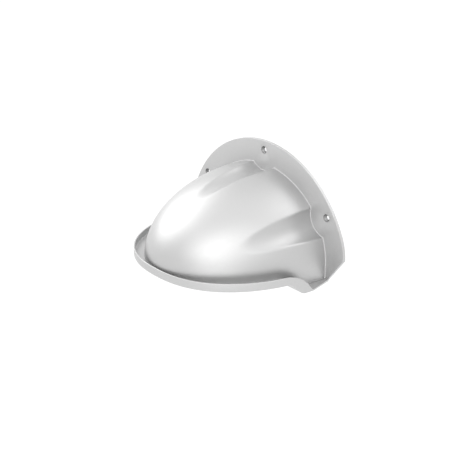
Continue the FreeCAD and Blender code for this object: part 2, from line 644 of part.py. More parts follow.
def bracket(name, side):
    """A corner bracket: one leg on the mouth frame, the other on the back plate."""
    body = doc.addObject("PartDesign::Body", name)
    plane = next(f for f in body.Origin.OriginFeatures if f.Role == "YZ_Plane")
    profile = body.newObject("Sketcher::SketchObject", f"{name}_profile")
    profile.AttachmentSupport = (plane, [""])
    profile.MapMode = "FlatFace"
    leg = size("bracket_leg")
    rise = size("bracket_rise")
    thick = size("bracket_thick")
    corners = [(0, 0), (-leg, 0), (-leg, thick), (-thick, thick), (-thick, rise), (0, rise)]
    for number, (first, last) in enumerate(zip(corners, corners[1:] + corners[:1])):
        profile.addGeometry(Part.LineSegment(V(*first, 0), V(*last, 0)), False)
        profile.addConstraint(Sketcher.Constraint("Vertical" if first[0] == last[0] else "Horizontal", number))
    for number in range(len(corners)):
        profile.addConstraint(Sketcher.Constraint("Coincident", number, 2, (number + 1) % len(corners), 1))
    profile.addConstraint(Sketcher.Constraint("Coincident", 0, 1, -1, 1))
    for kind, start, end, alias, number in (
        ("DistanceX", (1, 1), (0, 1), "bracket_leg", leg),
        ("DistanceY", (1, 1), (1, 2), "bracket_thick", thick),
        ("DistanceX", (4, 1), (4, 2), "bracket_thick", thick),
        ("DistanceY", (0, 1), (4, 2), "bracket_rise", rise),
    ):
        index = profile.addConstraint(Sketcher.Constraint(kind, *start, *end, number))
        profile.setExpression(f"Constraints[{index}]", f"Sizes.{alias}")
    pad = body.newObject("PartDesign::Pad", f"{name}_pad")
    pad.Profile = profile
    pad.setExpression("Length", "Sizes.bracket_width")
    body.Placement.Base = V(side * bracket_middle - size("bracket_width") / 2, -plate_front, leg_level)
    return body


def bracket_holes(name):
    """The two holes in each bracket."""
    return fuse(name, [leg_bars(f"{name}_legs"), small_bars(f"{name}_backs", RISE_SPOTS, "0", FRONT)])


bracket_left = cut("bracket_left", bracket("bracket_left_body", -1.0), bracket_holes("bracket_left_holes"))
bracket_right = cut("bracket_right", bracket("bracket_right_body", 1.0), bracket_holes("bracket_right_holes"))


# ---------------------------------------------------------------- screws
def screw(profile):
    """A screw turned about the X axis from its profile, head first, with a six-sided socket in the head."""
    points = [V(along, radius, 0) for along, radius in profile]
    outline = Part.makePolygon([V(points[0].x, 0, 0)] + points + [V(points[-1].x, 0, 0), V(points[0].x, 0, 0)])
    solid = Part.Face(outline).revolve(V(0, 0, 0), ALONG_WALL, 360)
    socket = size("socket_radius")
    turns = [math.radians(60.0 * corner) for corner in range(7)]
    key = [V(0, socket * math.cos(turn), socket * math.sin(turn)) for turn in turns]
    return solid.cut(Part.Face(Part.makePolygon(key)).extrude(ALONG_WALL * size("socket_depth")))


def sunk_screw(length):
    """A small countersunk screw of the given length."""
    shank = size("small_radius")
    wide = size("small_head")
    end = size("small_chamfer")
    return screw([(0, wide), (wide - shank, shank), (length - end, shank), (length, shank - end)])


def pan_screw(length):
    """A small pan-head screw whose shank has the given length under the head."""
    height = size("pan_height")
    return screw([(0, size("pan_flat")), (size("pan_edge"), size("small_head")), (height, size("small_head")),
                  (height, size("small_radius")), (height + length, size("small_radius"))])


def set_screws(name, solid, places):
    """Copies of one screw, each turned to drive along its own direction, in one object."""
    copies = []
    for spot, direction in places:
        copy = solid.copy()
        copy.Placement = FreeCAD.Placement(spot, FreeCAD.Rotation(ALONG_WALL, direction))
        copies.append(copy)
    return formed(name, Part.makeCompound(copies))


gutter_stack = size("floor_thick") + seal + sheet_wall + rail
gutter_screws = set_screws("gutter_screws", sunk_screw(gutter_stack), [
    (V(x, y, z - size("floor_thick")), UP) for x, y, z in GUTTER_SPOTS
])
frame_screws = set_screws("frame_screws", sunk_screw(size("frame_screw_length")), [
    (V(x, -size("gasket_thick"), z), -TO_WALL) for x, z in FRAME_SPOTS
])
head_out = size("bracket_thick") + size("pan_height")
bracket_screws = set_screws("bracket_screws", pan_screw(size("pan_length")), [
    (V(x, y, leg_level + head_out), -UP) for x, y in LEG_SPOTS
] + [
    (V(x, -plate_front - head_out, z), TO_WALL) for x, z in RISE_SPOTS
])

# ---------------------------------------------------------------- the pieces, each in its own file
PIECES = {
    "mirror_dome": mirror_dome,
    "dome_bead": dome_bead,
    "wall_flange": wall_flange,
    "back_plate": back_plate,
    "wall_gasket": wall_gasket,
    "drip_gutter": drip_gutter,
    "mouth_seal": mouth_seal,
    "mouth_frame": mouth_frame,
    "bracket_left": bracket_left,
    "bracket_right": bracket_right,
    "bracket_screws": bracket_screws,
    "frame_screws": frame_screws,
    "gutter_screws": gutter_screws,
}
doc.recompute()
for made in doc.Objects:
    if "Invalid" in made.State or "Error" in made.State:
        raise RuntimeError(f"{made.Name} failed: {made.State}")
for name, piece in PIECES.items():
    if piece.Shape.isNull() or not piece.Shape.isValid() or not piece.Shape.Solids:
        raise RuntimeError(f"{name} has no valid solid")
os.makedirs("parts", exist_ok=True)
for name, piece in PIECES.items():
    piece.Label = name
    piece.Shape.exportStep(f"parts/{name}.step")
    box = piece.Shape.optimalBoundingBox()
    print(f"{name}: {len(piece.Shape.Solids)} solids, {piece.Shape.Volume:.0f} mm3, "
          f"x {box.XMin:.1f}..{box.XMax:.1f} y {box.YMin:.1f}..{box.YMax:.1f} z {box.ZMin:.1f}..{box.ZMax:.1f}")
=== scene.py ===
"""Looks of a wall-mounted quarter-dome security mirror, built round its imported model.

Metres.  +Z is up, +X runs along the wall and the wall lies on the +Y side.  The origin is on the wall's
surface, on the centreline, level with the dome's mouth.  A size called a reach is counted from the wall
flange's front face, away from the wall.
"""

import json
import logging
import math
from dataclasses import dataclass, field
from enum import Enum

import bmesh
import bpy
import numpy as np
from mathutils import Matrix, Vector


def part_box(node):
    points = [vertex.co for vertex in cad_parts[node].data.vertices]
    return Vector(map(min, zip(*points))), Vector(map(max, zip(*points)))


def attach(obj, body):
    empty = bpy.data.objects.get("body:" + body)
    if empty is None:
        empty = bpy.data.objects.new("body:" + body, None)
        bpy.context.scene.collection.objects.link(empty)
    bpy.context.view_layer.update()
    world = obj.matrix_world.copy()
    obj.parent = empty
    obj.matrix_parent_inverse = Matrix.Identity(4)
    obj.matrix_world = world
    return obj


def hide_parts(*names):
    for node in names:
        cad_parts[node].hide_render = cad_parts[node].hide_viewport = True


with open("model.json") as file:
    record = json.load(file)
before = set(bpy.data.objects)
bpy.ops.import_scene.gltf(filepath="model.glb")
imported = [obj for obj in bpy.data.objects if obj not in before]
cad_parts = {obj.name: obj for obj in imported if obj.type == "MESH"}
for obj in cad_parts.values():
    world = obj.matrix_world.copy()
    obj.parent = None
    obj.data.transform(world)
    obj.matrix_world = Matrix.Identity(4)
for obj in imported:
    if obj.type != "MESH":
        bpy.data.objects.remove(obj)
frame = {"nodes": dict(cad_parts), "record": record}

log = logging.getLogger("security_mirror")
MM = 0.001
SHARP_ANGLE = math.radians(35.0)
SAME_PLACE = 2e-6
# Numbers of a Mix node's sockets when it mixes colours.
COLOUR_A, COLOUR_B, MIXED_COLOUR = 6, 7, 2
Array = np.ndarray


# ---------------------------------------------------------------- places read from the frame
def corner(node: str, high: bool, axis: int) -> float:
    """One coordinate of a node's box: its highest or lowest value along axis 0, 1 or 2."""
    return float(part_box(node)[1 if high else 0][axis])


FLANGE_FRONT = corner("wall_flange", False, 1)
FLANGE_BACK = corner("wall_flange", True, 1)
PLATE_BACK = corner("back_plate", True, 1)
FOOT_LEVEL = corner("wall_flange", False, 2)


def hole_spots() -> Array:
    """Places (x, z) of the fixing holes, from the bores among the record's mounts."""
    bores = [mount["pos_m"] for mount in frame["record"]["mounts"] if mount["kind"] == "bore"]
    return np.array([[bore[0], bore[2]] for bore in bores])


# ---------------------------------------------------------------- meshes from arrays
class Surface:
    """A mesh put together from grids and rings of points, whose shared edges are merged at the end."""

    def __init__(self, name: str) -> None:
        """Starts an empty surface.

        Args:
            name: the piece's name.
        """
        self.name = name
        self.points: list[Array] = []
        self.faces: list[list[int]] = []
        self.finishes: list[int] = []
        self.count = 0

    def _put(self, points: Array) -> int:
        """Adds points and returns the number of the first one."""
        first = self.count
        self.points.append(np.asarray(points, float).reshape(-1, 3))
        self.count += len(self.points[-1])
        return first

    def grid(self, points: Array, finish: int = 0, ring: bool = False) -> None:
        """Adds the quads between neighbouring points of a grid.

        Args:
            points: array (rows, columns, 3).
            finish: number of the material.
            ring: whether the last column joins the first.
        """
        rows, columns = points.shape[:2]
        first = self._put(points)
        number = np.arange(rows * columns).reshape(rows, columns) + first
        if ring:
            number = np.concatenate([number, number[:, :1]], axis=1)
        quads = np.stack([number[:-1, :-1], number[:-1, 1:], number[1:, 1:], number[1:, :-1]], axis=-1)
        quads = quads.reshape(-1, 4)
        self.faces += quads.tolist()
        self.finishes += [finish] * len(quads)

    def polygon(self, points: Array, finish: int = 0) -> None:
        """Adds one flat face with the given corners."""
        first = self._put(points)
        self.faces.append(list(range(first, first + len(points))))
        self.finishes.append(finish)

    def sheet(self, loops: list[Array], finish: int = 0) -> None:
        """Fills the flat region between an outline and the holes in it with triangles.

        Args:
            loops: closed runs of points, the outline first.
            finish: number of the material.
        """
        flat = bmesh.new()
        for loop in loops:
            verts = [flat.verts.new(point) for point in loop]
            for first, second in zip(verts, verts[1:] + verts[:1]):
                flat.edges.new((first, second))
        bmesh.ops.triangle_fill(flat, edges=flat.edges[:], use_beauty=True)
        flat.verts.index_update()
        start = self._put(np.array([vert.co[:] for vert in flat.verts]))
        for face in flat.faces:
            self.faces.append([start + vert.index for vert in face.verts])
            self.finishes.append(finish)
        flat.free()

    def build(self, finishes: list[bpy.types.Material]) -> bpy.types.Object:
        """Merges shared points, closes what is left open, turns faces outwards and makes the object.

        Args:
            finishes: the piece's materials, in the order of their numbers.

        Returns:
            The new object, in place, with no transform of its own.
        """
        mesh = bpy.data.meshes.new(self.name)
        mesh.from_pydata(np.concatenate(self.points).tolist(), [], self.faces)
        mesh.polygons.foreach_set("material_index", np.array(self.finishes, np.int32))
        work = bmesh.new()
        work.from_mesh(mesh)
        bmesh.ops.remove_doubles(work, verts=work.verts, dist=SAME_PLACE)
        bmesh.ops.dissolve_degenerate(work, edges=work.edges, dist=1e-6)
        gaps = [edge for edge in work.edges if edge.is_boundary]
        if gaps:
            bmesh.ops.holes_fill(work, edges=gaps, sides=0)
        bmesh.ops.recalc_face_normals(work, faces=work.faces)
        if work.calc_volume(signed=True) < 0:
            bmesh.ops.reverse_faces(work, faces=work.faces)
        open_edges = sum(1 for edge in work.edges if not edge.is_manifold)
        work.to_mesh(mesh)
        work.free()
        mesh.shade_smooth()
        mesh.set_sharp_from_angle(angle=SHARP_ANGLE)
        for finish in finishes:
            mesh.materials.append(finish)
        piece = bpy.data.objects.new(self.name, mesh)
        bpy.context.scene.collection.objects.link(piece)
        log.info("%s: %d faces, %d open edges", self.name, len(mesh.polygons), open_edges)
        return piece


def settle(piece: bpy.types.Object, slot: str, *nodes: str) -> None:
    """Fastens a piece to the frame's only body and hides the nodes it stands for."""
    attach(piece, "root")
    if nodes:
        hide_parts(*nodes)


def lathe(profile: Array, x: float, z: float, steps: int = 64) -> Array:
    """Points of a surface turned about an axis square to the wall.

    Each row is one point of the profile carried round a circle: (x + r cos f, y, z + r sin f).

    Args:
        profile: array (rows, 2) of y and radius.
        x: the axis's place along the wall.
        z: the axis's height.
        steps: points round the circle.

    Returns:
        Array (rows, steps, 3), whose last column joins the first.
    """
    turn = 2 * np.pi * np.arange(steps) / steps
    depth, radius = profile[:, :1], profile[:, 1:]
    return np.stack([x + radius * np.cos(turn), depth + 0 * turn, z + radius * np.sin(turn)], axis=-1)


def fillet(radius: float, first: float, last: float, steps: int) -> Array:
    """Offsets (steps + 1, 2) along a circle of the given radius, between two angles in degrees."""
    turn = np.radians(np.linspace(first, last, steps + 1))
    return radius * np.stack([np.cos(turn), np.sin(turn)], axis=-1)


def offset_loop(loop: Array, distance: float) -> Array:
    """A closed flat outline moved inwards, with mitred corners.

    Each point moves along the sum of its two sides' normals, divided by one plus their dot product,
    which keeps every side at the same distance.

    Args:
        loop: array (count, 2), counter-clockwise.
        distance: how far inwards.

    Returns:
        Array (count, 2).
    """
    side = np.roll(loop, -1, axis=0) - loop
    side /= np.linalg.norm(side, axis=1, keepdims=True)
    normal = np.stack([-side[:, 1], side[:, 0]], axis=1)
    before = np.roll(normal, 1, axis=0)
    mitre = (normal + before) / np.maximum(1 + (normal * before).sum(1, keepdims=True), 0.3)
    return loop + distance * mitre


# ---------------------------------------------------------------- shader maths
class Shade:
    """A socket of a shader tree, with the arithmetic that the finishes use."""

    def __init__(self, tree: bpy.types.NodeTree, socket: bpy.types.NodeSocket) -> None:
        """Wraps a socket.

        Args:
            tree: the tree it belongs to.
            socket: an output socket.
        """
        self.tree = tree
        self.socket = socket

    def _math(self, operation: str, *values: "Shade | float") -> "Shade":
        """Adds a Math node on these values."""
        return node(self.tree, "ShaderNodeMath", {"operation": operation}, dict(enumerate(values)))[0]

    def __add__(self, other: "Shade | float") -> "Shade":
        """This plus other."""
        return self._math("ADD", self, other)

    def __sub__(self, other: "Shade | float") -> "Shade":
        """This minus other."""
        return self._math("SUBTRACT", self, other)

    def __rsub__(self, other: float) -> "Shade":
        """Other minus this."""
        return self._math("SUBTRACT", other, self)

    def __mul__(self, other: "Shade | float") -> "Shade":
        """This times other."""
        return self._math("MULTIPLY", self, other)

    def __pow__(self, other: float) -> "Shade":
        """This to a power."""
        return self._math("POWER", self, other)

    __radd__ = __add__
    __rmul__ = __mul__

    def span(self, low: float, high: float, to_low: float = 0.0, to_high: float = 1.0) -> "Shade":
        """This, stretched from low..high to to_low..to_high and held inside it."""
        ends = {"From Min": low, "From Max": high, "To Min": to_low, "To Max": to_high}
        return node(self.tree, "ShaderNodeMapRange", {"clamp": True}, {"Value": self, **ends})[0]


def node(tree: bpy.types.NodeTree, kind: str, settings: dict | None = None,
         inputs: dict | None = None) -> list[Shade]:
    """Adds a node to a tree.

    Args:
        tree: the shader tree.
        kind: the node's type.
        settings: properties that are set first, such as an operation.
        inputs: sockets, by name or number, with a value or a Shade to link.

    Returns:
        The node's outputs.
    """
    made = tree.nodes.new(kind)
    for name, value in (settings or {}).items():
        setattr(made, name, value)
    for name, value in (inputs or {}).items():
        socket = made.inputs[name]
        if isinstance(value, Shade):
            tree.links.new(value.socket, socket)
        else:
            socket.default_value = value
    return [Shade(tree, output) for output in made.outputs]


def output_named(tree: bpy.types.NodeTree, kind: str, name: str, settings: dict | None = None,
                 inputs: dict | None = None) -> Shade:
    """Adds a node and returns one of its outputs by name."""
    return next(out for out in node(tree, kind, settings, inputs) if out.socket.name == name)


def grey(value: float, tint: tuple[float, float, float] = (1.0, 1.0, 1.0)) -> tuple[float, ...]:
    """A colour of the given linear value, with a tint."""
    return (*(value * part for part in tint), 1.0)


class Blank:
    """A new material: its tree, its Principled shader and the object's own coordinates."""

    def __init__(self, name: str) -> None:
        """Makes the material.

        Args:
            name: its name.
        """
        self.material = bpy.data.materials.new(name)
        self.material.use_nodes = True
        self.tree = self.material.node_tree
        self.shader = next(found for found in self.tree.nodes if found.type == "BSDF_PRINCIPLED")
        self.place = output_named(self.tree, "ShaderNodeTexCoord", "Object")

    def even(self, **inputs: float | tuple) -> None:
        """Sets the shader's sockets, named with _ for a space, to values that are the same all over."""
        for name, value in inputs.items():
            self.shader.inputs[name.replace("_", " ")].default_value = value

    def link(self, **inputs: Shade) -> None:
        """Links shades to the shader's sockets, named with _ for a space."""
        for name, shade in inputs.items():
            self.tree.links.new(shade.socket, self.shader.inputs[name.replace("_", " ")])

    def noise(self, cell: float, detail: float = 3.0,
              stretch: tuple[float, float, float] = (1.0, 1.0, 1.0)) -> Shade:
        """Soft noise whose blobs are `cell` metres across, squeezed along the axes by `stretch`."""
        scaled = node(self.tree, "ShaderNodeMapping", {}, {"Vector": self.place, "Scale": stretch})[0]
        return output_named(self.tree, "ShaderNodeTexNoise", "Fac", {},
                            {"Vector": scaled, "Scale": 1.0 / cell, "Detail": detail})

    def cells(self, cell: float, feature: str = "F1", output: str = "Distance") -> Shade:
        """Round cells `cell` metres across: the distance to the nearest centre, or each cell's shade."""
        found = output_named(self.tree, "ShaderNodeTexVoronoi", output, {"feature": feature},
                             {"Vector": self.place, "Scale": 1.0 / cell})
        if output == "Color":
            return node(self.tree, "ShaderNodeSeparateColor", {}, {"Color": found})[0]
        return found

    def tones(self, mask: Shade, low: tuple[float, ...], high: tuple[float, ...]) -> Shade:
        """A colour between low and high as the mask goes from 0 to 1."""
        mix = {"Factor": mask, COLOUR_A: low, COLOUR_B: high}
        return node(self.tree, "ShaderNodeMix", {"data_type": "RGBA"}, mix)[MIXED_COLOUR]

    def bump(self, height: Shade, depth: float) -> None:
        """Feeds a height from 0 to 1 into the shader's normal, `depth` metres deep."""
        normal = node(self.tree, "ShaderNodeBump", {}, {"Height": height, "Distance": depth})[0]
        self.tree.links.new(normal.socket, self.shader.inputs["Normal"])


@dataclass(frozen=True)
class Satin:
    """Satin skin: a soft shine with a faint grain and slow changes of tone and gloss."""

    name: str
    tone: float
    metallic: float
    roughness: float
    drift: float = 0.015
    grain: float = 0.0005
    grain_depth: float = 0.000002

    def material(self) -> bpy.types.Material:
        """Slow noise moves the tone, smaller marks the gloss, and fine noise is the grain."""
        blank = Blank(self.name)
        blank.even(Metallic=self.metallic)
        slow = blank.noise(0.05, 4.0)
        marks = blank.noise(0.004, 5.0)
        mask = slow * 0.8 + marks * 0.2
        blank.link(Base_Color=blank.tones(mask, grey(self.tone * (1 - self.drift)),
                                          grey(self.tone * (1 + self.drift))),
                   Roughness=marks.span(0.3, 0.7, self.roughness - 0.03, self.roughness + 0.03))
        blank.bump(blank.noise(self.grain, 2.0), self.grain_depth)
        return blank.material


@dataclass(frozen=True)
class Backing:
    """Sprayed grey backing paint inside the mirror: matt, with a fine mist of darker specks."""

    name: str = "backing_paint"
    tone: float = 0.3

    def material(self) -> bpy.types.Material:
        """Spray specks darken the paint and an orange-peel skin gives its bump."""
        blank = Blank(self.name)
        mist = blank.noise(0.0012, 4.0)
        cloud = blank.noise(0.03, 3.0)
        mask = mist.span(0.35, 0.65) * 0.5 + cloud * 0.5
        blank.link(Base_Color=blank.tones(mask, grey(self.tone * 0.85), grey(self.tone * 1.12)),
                   Roughness=cloud.span(0.3, 0.7, 0.55, 0.7))
        blank.bump(blank.noise(0.0015, 2.0), 0.00006)
        return blank.material


@dataclass(frozen=True)
class Zinc:
    """Bright zinc plate: large soft spangles, rolling lines and a slightly blue tint."""

    name: str = "zinc_plate"
    tone: float = 0.5
    tint: tuple[float, float, float] = (0.97, 1.0, 1.03)

    def material(self) -> bpy.types.Material:
        """Each spangle has its own shade and gloss, crossed by fine rolling lines."""
        blank = Blank(self.name)
        blank.even(Metallic=1.0)
        spangle = blank.cells(0.006, output="Color")
        lines = blank.noise(0.0006, 3.0, (0.03, 1.0, 1.0))
        mask = spangle * 0.6 + lines * 0.4
        dark, light = grey(self.tone * 0.85, self.tint), grey(self.tone * 1.15, self.tint)
        blank.link(Base_Color=blank.tones(mask, dark, light),
                   Roughness=spangle.span(0.0, 1.0, 0.34, 0.48))
        blank.bump(lines, 0.00002)
        return blank.material


@dataclass(frozen=True)
class Turned:
    """Turned bare metal of screws and countersinks: tight fine lines and small bright and dull flecks. The
    countersinks' copy is darkened as painted shade in the holes.
    """

    name: str = "turned_steel"
    tone: float = 0.62
    roughness: float = 0.27

    def material(self) -> bpy.types.Material:
        """Fine noise gives the machined lines, larger flecks the change of gloss."""
        blank = Blank(self.name)
        blank.even(Metallic=1.0)
        lines = blank.noise(0.00025, 2.0, (1.0, 0.2, 1.0))
        flecks = blank.noise(0.0016, 3.0)
        blank.link(Base_Color=blank.tones(flecks, grey(self.tone * 0.88), grey(self.tone * 1.08)),
                   Roughness=flecks.span(0.3, 0.7, self.roughness - 0.05, self.roughness + 0.07))
        blank.bump(lines, 0.00001)
        return blank.material


@dataclass(frozen=True)
class Foam:
    """Closed-cell foam: near black, matt, with open skin bubbles of two sizes."""

    name: str = "closed_cell_foam"
    tone: float = 0.03

    def material(self) -> bpy.types.Material:
        """Bubbles are round cells, deeper at their middles, where their colour is darkened as painted shade.
        """
        blank = Blank(self.name)
        large = blank.cells(0.0016)
        small = blank.cells(0.0007)
        mask = (large * 0.6 + small * 0.4).span(0.1, 0.7)
        # The darker tone at each bubble's middle is painted shade in its hollow.
        blank.link(Base_Color=blank.tones(mask, grey(self.tone * 0.5), grey(self.tone * 1.6)),
                   Roughness=mask.span(0.0, 1.0, 0.8, 0.95))
        blank.bump(mask, 0.0003)
        return blank.material


@dataclass(frozen=True)
class Rubber:
    """Moulded seal rubber: mid grey, matt, with a dusty bloom."""

    name: str = "seal_rubber"
    tone: float = 0.6

    def material(self) -> bpy.types.Material:
        """A pale bloom lies in patches over a fine matt grain."""
        blank = Blank(self.name)
        bloom = blank.noise(0.008, 4.0)
        blank.link(Base_Color=blank.tones(bloom, grey(self.tone * 0.8), grey(self.tone * 1.5)),
                   Roughness=bloom.span(0.3, 0.7, 0.6, 0.75))
        blank.bump(blank.noise(0.0004, 2.0), 0.00002)
        return blank.material


@dataclass(frozen=True)
class Sealant:
    """Light grey sealant drawn along the joint: smooth, slightly wavy and softly glossy."""

    name: str = "sealant"
    tone: float = 0.52

    def material(self) -> bpy.types.Material:
        """The tooled skin has long low waves and a few dull spots."""
        blank = Blank(self.name)
        blank.even(Coat_Weight=0.3, Coat_Roughness=0.25)
        wave = blank.noise(0.009, 2.0)
        spots = blank.noise(0.002, 3.0)
        blank.link(Base_Color=blank.tones(spots, grey(self.tone * 0.94), grey(self.tone * 1.04)),
                   Roughness=spots.span(0.3, 0.7, 0.3, 0.42))
        blank.bump(wave, 0.0002)
        return blank.material


class Skin(Enum):
    """The finishes that this object uses, each a material made once."""

    MIRROR = Satin("satin_mirror", tone=0.56, metallic=1.0, roughness=0.43)
    BACKING = Backing()
    METAL = Satin("fine_satin", tone=0.55, metallic=0.8, roughness=0.52, grain_depth=0.000004)
    # Bare turned metal of the countersinks. Its tone is set far below the screws' as painted shade inside
    # the holes.
    CUT = Turned("countersink_metal_and_shade", tone=0.26, roughness=0.34)
    ZINC = Zinc()
    STEEL = Turned()
    FOAM = Foam()
    RUBBER = Rubber()
    SEALANT = Sealant()


def skin(choice: Skin) -> bpy.types.Material:
    """The material of a finish, made the first time that it is asked for."""
    return bpy.data.materials.get(choice.value.name) or choice.value.material()


def dress(name: str, choice: Skin) -> None:
    """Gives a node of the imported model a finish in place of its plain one."""
    slots = frame["nodes"][name].data.materials
    slots.clear()
    slots.append(skin(choice))
    log.info("%s: packed shape, %s", name, choice.value.name)


KEPT = {
    "mouth_seal": Skin.RUBBER,
    "mouth_frame": Skin.ZINC,
    "bracket_left": Skin.ZINC,
    "bracket_right": Skin.ZINC,
    "bracket_screws": Skin.STEEL,
    "frame_screws": Skin.STEEL,
    "gutter_screws": Skin.STEEL,
}


# ---------------------------------------------------------------- the floor's side view
@dataclass(frozen=True)
class FloorLine:
    """Height of the gutter's floor at each reach: flat, bend, slope, bend, flat, down to the spouts."""

    level: float = -1.0 * MM
    drop: float = 16.5 * MM
    start: float = 74.0 * MM
    slope: float = math.radians(43.0)
    upper: float = 14.0 * MM
    lower: float = 12.0 * MM

    def height(self, reach: Array) -> Array:
        """Height of the floor's top face.

        The upper bend is a circle of radius `upper` below the flat part, the lower bend a circle of
        radius `lower` above the spouts' floor, and a straight slope touches both.

        Args:
            reach: distances from the flange's front face.

        Returns:
            Heights, of the same shape.
        """
        sine, cosine, tangent = math.sin(self.slope), math.cos(self.slope), math.tan(self.slope)
        bends = self.upper + self.lower
        run = bends * sine + (self.drop - bends * (1 - cosine)) / tangent
        down = np.clip(self.start - reach, 0.0, run)
        ahead = run - down
        upper = np.sqrt(np.maximum(self.upper ** 2 - np.minimum(down, self.upper) ** 2, 0)) - self.upper
        lower = self.lower - np.sqrt(np.maximum(self.lower ** 2 - np.minimum(ahead, self.lower) ** 2, 0))
        slope = -self.upper * (1 - cosine) - (down - self.upper * sine) * tangent
        height = np.where(down < self.upper * sine, upper,
                          np.where(ahead < self.lower * sine, lower - self.drop, slope))
        return self.level + height


# ---------------------------------------------------------------- the mirror dome
@dataclass
class MirrorDome:
    """Quarter-ellipsoid mirror shell with a screwdriver flute below each fixing hole.

    A feature is worked out on a grid over `along`, 0 to 1 from the right foot over the top to the left
    foot, and the reach.  A section at one reach is half an ellipse with straight sides below it, drawn
    in where a flute's circle bites into it.
    """

    floor: FloorLine
    holes: Array
    half_width: float = 120.5 * MM
    height: float = 107.0 * MM
    reach: float = 177.5 * MM
    wall: float = 2.0 * MM
    seal: float = 1.0 * MM
    flute_radius: float = 28.0 * MM
    flute_straight: float = 25.0 * MM
    flute_flare: float = 270.0 * MM
    wall_foot: float = 6.0 * MM
    mouth_foot: float = 14.0 * MM
    crease_near: float = 0.8 * MM
    crease_far: float = 1.4 * MM
    chamfer_foot: float = 120.9 * MM
    chamfer_lean: float = 26.0 / 35.0
    across: int = 330
    rows: int = 130
    halvings: int = 36

    def flute_at(self, reach: Array, inset: float) -> Array:
        """Radius of the flutes at a reach: constant, then widening along a circular flare."""
        past = np.maximum(reach - self.flute_straight, 0.0)
        bend = self.flute_flare - inset
        past = np.minimum(past, 0.9 * bend)
        return self.flute_radius + self.flute_flare - np.sqrt(bend ** 2 - past ** 2)

    def section(self, reach: Array, along: Array, inset: float = 0.0, lift: float | None = None) -> Array:
        """Points of the shell's surface.

        The half ellipse shrinks by sqrt(1 - (reach / full reach)^2).  Each of its points is then drawn
        towards the centreline until the rounded larger of two distances is zero: how far the point is
        outside the ellipse, and how far inside the flute's circle.

        Args:
            reach: distances from the flange, which broadcast with along.
            along: places round the section, 0 to 1.
            inset: how far inside the outer surface, negative outside it.
            lift: height of the lower edge above the gutter's floor, the seal's height if None.

        Returns:
            Array of points with the broadcast shape plus 3.
        """
        reach, along = np.broadcast_arrays(np.asarray(reach, float), np.asarray(along, float))
        shrink = np.sqrt(np.clip(1 - (np.maximum(reach, 0) / (self.reach - inset)) ** 2, 0, 1))
        half = (self.half_width - inset) * shrink
        rise = np.maximum((self.height - inset) * shrink, 1e-9)
        base = self.floor.height(reach) + (self.seal if lift is None else lift)
        first = np.where(base > 0, np.arcsin(np.clip(base / rise, 0, 1)), base / rise)
        turn = first + (np.pi - 2 * first) * along
        arc = np.clip(turn, 0, np.pi)
        below = np.abs(turn - arc)
        spot = np.stack([half * np.cos(arc), rise * np.sin(arc) - rise * below], axis=-1)

        full = np.linalg.norm(spot, axis=-1)
        toward = spot / np.maximum(full, 1e-9)[..., None]
        radius = self.flute_at(np.maximum(reach, 0), inset)
        share = np.clip(reach / self.flute_straight, 0, 1)
        soft = self.crease_near + (self.crease_far - self.crease_near) * share

        def outside(distance: Array) -> Array:
            """Rounded larger of the distances past the ellipse and into the flutes."""
            at = toward * distance[..., None]
            into = np.max([radius - np.linalg.norm(at - hole, axis=-1) for hole in self.holes], axis=0)
            past = distance - full
            blend = np.maximum(soft - np.abs(past - into), 0) / soft
            return np.maximum(past, into) + 0.25 * soft * blend ** 2

        low, high = 0.5 * full, full.copy()
        for _ in range(self.halvings):
            middle = 0.5 * (low + high)
            over = outside(middle) > 0
            low, high = np.where(over, low, middle), np.where(over, middle, high)
        clear = outside(full) <= 1e-12
        distance = np.where(clear, full, 0.5 * (low + high))
        at = toward * distance[..., None]
        return np.stack([at[..., 0], FLANGE_FRONT - reach, at[..., 1]], axis=-1)

    def skin_rows(self, inset: float, lift: float) -> Array:
        """Grid of one face of the shell, from the flange to the nose."""
        rise = self.height - inset
        base = max(float(self.floor.height(np.array(self.reach))) + lift, 0.0)
        end = (self.reach - inset) * math.sqrt(1 - (base / rise) ** 2)
        reach = end * np.sin(np.linspace(0, np.pi / 2, self.rows + 1))
        along = np.linspace(0, 1, self.across + 1)
        return self.section(reach[:, None], along[None, :], inset, lift)

    def keep_in(self, points: Array) -> Array:
        """The points, held inside the flange's chamfered lower corners."""
        limit = self.chamfer_foot + (points[..., 2] - FOOT_LEVEL) * self.chamfer_lean
        points[..., 0] = np.clip(points[..., 0], -limit, limit)
        return points

    def flat(self, depth: float, inset: float, lift: float) -> Array:
        """The section at the flange, moved `depth` behind the flange's front face."""
        points = self.section(np.zeros(1), np.linspace(0, 1, self.across + 1), inset, lift)
        points[..., 1] = FLANGE_FRONT + depth
        return self.keep_in(points)

    def lower_edge(self, rows: Array) -> Array:
        """The lower edge of a skin: up its right side to the nose and back down its left side."""
        return np.concatenate([rows[:, 0], rows[-2::-1, -1]])

    def opening_edge(self, back: Array) -> Array:
        """The mouth's opening, an ellipse `mouth_foot` smaller than the dome, run straight back."""
        turn = np.linspace(0, np.pi / 2, self.rows + 1)
        half, reach = self.half_width - self.mouth_foot, self.reach - self.mouth_foot
        x = np.concatenate([np.full(len(back), half), half * np.cos(turn)])
        y = FLANGE_FRONT + np.concatenate([back, -reach * np.sin(turn)])
        side = np.stack([x, y, 0 * x], axis=-1)
        return np.concatenate([side, (side * (-1, 1, 1))[-2::-1]])

    def strip(self, edge: Array, opening: Array, lift: float, steps: int = 8) -> Array:
        """Straight lines from a skin's lower edge to the opening, laid `lift` above the gutter's floor."""
        share = np.linspace(0, 1, steps + 1)[:, None, None]
        points = edge * (1 - share) + opening * share
        points[..., 2] = self.floor.height(FLANGE_FRONT - points[..., 1]) + lift
        return points

